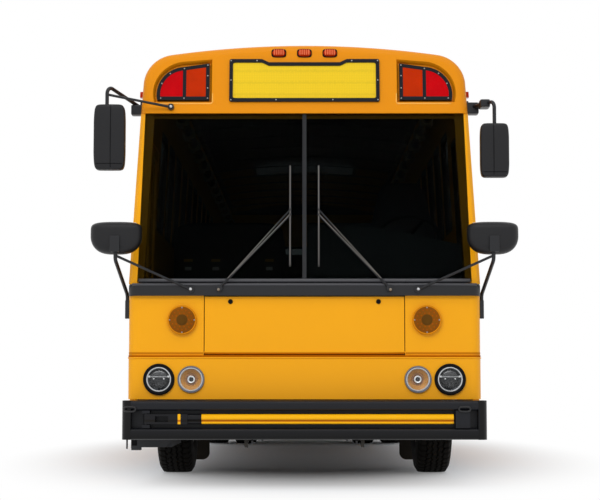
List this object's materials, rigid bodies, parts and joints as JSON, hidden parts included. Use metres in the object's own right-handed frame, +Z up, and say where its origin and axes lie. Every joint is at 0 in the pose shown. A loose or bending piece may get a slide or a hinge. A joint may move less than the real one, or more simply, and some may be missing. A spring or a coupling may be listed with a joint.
{
  "type": "school bus",
  "caption": "Flat-fronted rear-engined school bus with steered front wheels, twin rear wheels, folding stop arm, crossing gate, entrance and emergency doors.",
  "frame": {"origin": "on the ground under the middle of the bus, between the bumper faces", "axes": "-Y is the front, +X the driver's left side, -X the entrance side, +Z up"},
  "size_m": [2.9302, 11.2, 3.1823],
  "materials": {
    "yellow_paint": "gloss",
    "black_paint": "satin",
    "black_plastic": "matte",
    "chassis_black": "satin",
    "clear_glass": "gloss",
    "floor_covering": "matte",
    "engine_casting": "rough",
    "tyre_rubber": "matte",
    "wheel_paint": "satin",
    "hatch_white": "satin",
    "gate_yellow": "gloss",
    "stop_red": "gloss",
    "sign_yellow": "gloss",
    "lamp_lens": "gloss",
    "amber_lens": "gloss",
    "red_lens": "gloss",
    "mirror_silver": "gloss",
    "dash_plastic": "matte",
    "seat_vinyl": "satin",
    "tank_steel": "satin",
    "exhaust_steel": "satin",
    "flap_rubber": "matte"
  },
  "bodies": {
    "body": {"wall_left": "yellow_paint", "wall_right": "yellow_paint", "roof": "yellow_paint", "front_cap": "yellow_paint", "lamp_panel": "yellow_paint", "front_shell": "yellow_paint", "cowl": "black_plastic", "windshield": "clear_glass", "rear_wall": "yellow_paint", "window_frames": "black_paint", "window_glass": "clear_glass", "floor": "floor_covering", "chassis_frame": "chassis_black", "suspension": "chassis_black", "front_axle": "chassis_black", "rear_axle": "chassis_black", "engine": "engine_casting", "front_bumper": "black_paint", "rear_bumper": "black_paint", "side_trim": "black_paint", "lamp_frames": "black_plastic", "sign_boards": "sign_yellow", "headlamps": "lamp_lens", "amber_lamps": "amber_lens", "red_lamps": "red_lens", "wipers": "black_paint", "mirror_heads": "black_plastic", "mirror_glass": "mirror_silver", "mirror_arms": "black_paint", "dash": "dash_plastic", "steering_wheel": "dash_plastic", "passenger_seats": "seat_vinyl", "driver_seat": "seat_vinyl", "tanks": "tank_steel", "exhaust": "exhaust_steel", "mud_flaps": "flap_rubber"},
    "entrance_front": {"entrance_front_leaf": "yellow_paint", "entrance_front_glass": "clear_glass"},
    "entrance_rear": {"entrance_rear_leaf": "yellow_paint", "entrance_rear_glass": "clear_glass"},
    "emergency_exit": {"emergency_door": "yellow_paint", "emergency_glass": "clear_glass"},
    "engine_lid": {"engine_door": "yellow_paint"},
    "access_lid": {"front_access_panel": "yellow_paint"},
    "hatch_front": {"roof_hatch_front": "hatch_white"},
    "hatch_rear": {"roof_hatch_rear": "hatch_white"},
    "stop_blade": {"stop_arm": "stop_red"},
    "gate": {"crossing_gate": "gate_yellow"},
    "steer_left": {"knuckle_left": "chassis_black"},
    "steer_right": {"knuckle_right": "chassis_black"},
    "track_rod": {"tie_rod": "chassis_black"},
    "wheel_front_left": {"front_left_tyre": "tyre_rubber", "front_left_wheel": "wheel_paint"},
    "wheel_front_right": {"front_right_tyre": "tyre_rubber", "front_right_wheel": "wheel_paint"},
    "wheel_rear_left": {"rear_left_tyres": "tyre_rubber", "rear_left_wheels": "wheel_paint"},
    "wheel_rear_right": {"rear_right_tyres": "tyre_rubber", "rear_right_wheels": "wheel_paint"}
  },
  "joints": [
    {"name": "steer_left", "type": "hinge", "parent": "body", "child": "steer_left", "pos_m": [0.88, -3.4, 0.527], "axis": [0, 0, 1], "range_deg": [-45, 45]},
    {"name": "steer_right", "type": "hinge", "parent": "body", "child": "steer_right", "pos_m": [-0.88, -3.4, 0.527], "axis": [0, 0, 1], "range_deg": [-45, 45]},
    {"name": "track_rod", "type": "hinge", "parent": "steer_left", "child": "track_rod", "pos_m": [0.88, -3.24, 0.348], "axis": [0, 0, 1], "range_deg": [-45, 45]},
    {"name": "wheel_front_left", "type": "hinge", "parent": "steer_left", "child": "wheel_front_left", "pos_m": [1.021, -3.4, 0.527], "axis": [1, 0, 0], "continuous": true},
    {"name": "wheel_front_right", "type": "hinge", "parent": "steer_right", "child": "wheel_front_right", "pos_m": [-1.021, -3.4, 0.527], "axis": [1, 0, 0], "continuous": true},
    {"name": "wheel_rear_left", "type": "hinge", "parent": "body", "child": "wheel_rear_left", "pos_m": [0.853, 2.59, 0.527], "axis": [1, 0, 0], "continuous": true},
    {"name": "wheel_rear_right", "type": "hinge", "parent": "body", "child": "wheel_rear_right", "pos_m": [-0.853, 2.59, 0.527], "axis": [1, 0, 0], "continuous": true},
    {"name": "entrance_front", "type": "hinge", "parent": "body", "child": "entrance_front", "pos_m": [-1.20001, -5.06, 0.28947], "axis": [0.0267, 0, 0.9996], "range_deg": [0, 90]},
    {"name": "entrance_rear", "type": "hinge", "parent": "body", "child": "entrance_rear", "pos_m": [-1.20001, -4.24, 0.28947], "axis": [-0.0267, 0, -0.9996], "range_deg": [0, 90]},
    {"name": "emergency_exit", "type": "hinge", "parent": "body", "child": "emergency_exit", "pos_m": [1.20002, 0.196, 1.00916], "axis": [0.0419, 0, -0.9991], "range_deg": [0, 90]},
    {"name": "engine_lid", "type": "hinge", "parent": "body", "child": "engine_lid", "pos_m": [0, 5.43, 1.54], "axis": [1, 0, 0], "range_deg": [0, 90]},
    {"name": "access_lid", "type": "hinge", "parent": "body", "child": "access_lid", "pos_m": [0, -5.337, 0.933], "axis": [1, 0, 0], "range_deg": [0, 90]},
    {"name": "hatch_front", "type": "hinge", "parent": "body", "child": "hatch_front", "pos_m": [0, -2.22, 3.1343], "axis": [1, 0, 0], "range_deg": [0, 80]},
    {"name": "hatch_rear", "type": "hinge", "parent": "body", "child": "hatch_rear", "pos_m": [0, 1.98, 3.1343], "axis": [1, 0, 0], "range_deg": [0, 80]},
    {"name": "stop_blade", "type": "hinge", "parent": "body", "child": "stop_blade", "pos_m": [1.25571, -3.982, 1.69], "axis": [0, 0, -1], "range_deg": [0, 90]},
    {"name": "gate", "type": "hinge", "parent": "body", "child": "gate", "pos_m": [-1.068, -5.58, 0.4785], "axis": [0, 0, -1], "range_deg": [0, 90]}
  ],
  "couplings": [
    {"joint": "steer_right", "follows": "steer_left", "ratio": 1},
    {"joint": "track_rod", "follows": "steer_left", "ratio": -1},
    {"joint": "entrance_rear", "follows": "entrance_front", "ratio": 1}
  ]
}
